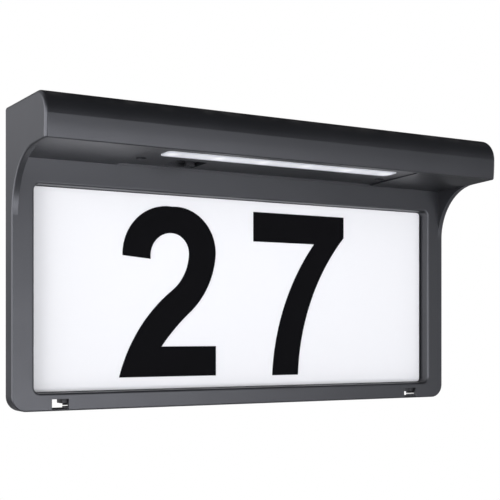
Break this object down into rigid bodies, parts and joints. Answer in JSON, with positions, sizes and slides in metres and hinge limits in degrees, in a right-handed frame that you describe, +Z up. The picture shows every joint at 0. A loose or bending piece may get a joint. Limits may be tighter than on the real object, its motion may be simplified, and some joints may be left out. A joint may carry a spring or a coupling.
{
  "type": "illuminated house number sign",
  "caption": "Wall sign with a white number panel in a dark frame, lit from a hood above by a solar-charged light module.",
  "frame": {"origin": "on the wall, midway between the two wall screw holes", "axes": "+Z up, +Y into the wall, +X to the right for someone facing the sign"},
  "size_m": [0.29, 0.0605, 0.161],
  "materials": {
    "housing_plastic": "anthracite moulded plastic with a fine grain",
    "plate_plastic": "anthracite moulded plastic, smoother than the front",
    "white_panel": "smooth white sheet",
    "numeral_black": "black adhesive film",
    "cover_plastic": "dark moulded plastic with a fine grain",
    "black_rubber": "soft black rubber",
    "screw_steel": "zinc-plated screw",
    "screw_black": "black coated screw",
    "frosted_lens": "frosted white lens",
    "reflector_white": "white moulded plastic",
    "circuit_board": "green lacquered board",
    "lamp_yellow": "lamp with a yellow face",
    "holder_plastic": "black moulded plastic",
    "cell_sleeve": "plain printed sleeve",
    "contact_metal": "nickel-plated spring steel",
    "component_black": "black component case",
    "knob_plastic": "black moulded plastic",
    "backing_white": "pale backing sheet",
    "solar_silicon": "dark blue cells with fine silver lines",
    "solar_glass": "clear glass",
    "sealant_black": "black sealant",
    "wire_insulation": "wire insulation"
  },
  "bodies": {
    "wall_side": {"wall_plate": "plate_plastic", "number_panel": "white_panel", "numeral_2": "numeral_black", "numeral_7": "numeral_black"},
    "front": {"front_housing": "housing_plastic", "module_cover": "cover_plastic", "module_seal": "black_rubber", "cover_screws": "screw_black", "light_lens": "frosted_lens", "led_reflector": "reflector_white", "led_board": "circuit_board", "leds": "lamp_yellow", "led_board_screws": "screw_steel", "battery_holder": "holder_plastic", "battery_cell_left": "cell_sleeve", "battery_cell_right": "cell_sleeve", "battery_contacts": "contact_metal", "control_board": "circuit_board", "board_parts": "component_black", "control_board_screws": "screw_steel", "switch_body": "component_black", "solar_backing": "backing_white", "solar_cells": "solar_silicon", "solar_glass": "solar_glass", "solar_seal": "sealant_black", "solar_leads": "wire_insulation", "led_leads": "wire_insulation", "battery_leads": "wire_insulation"},
    "switch_knob": {"switch_knob": "knob_plastic"}
  },
  "joints": [
    {"name": "front_swing", "type": "hinge", "parent": "wall_side", "child": "front", "pos_m": [0, -0.0048, 0.01135], "axis": [-1, 0, 0], "range_deg": [0, 10]},
    {"name": "switch_slide", "type": "slide", "parent": "front", "child": "switch_knob", "axis": [-1, 0, 0], "range_m": [0, 0.004]}
  ]
}
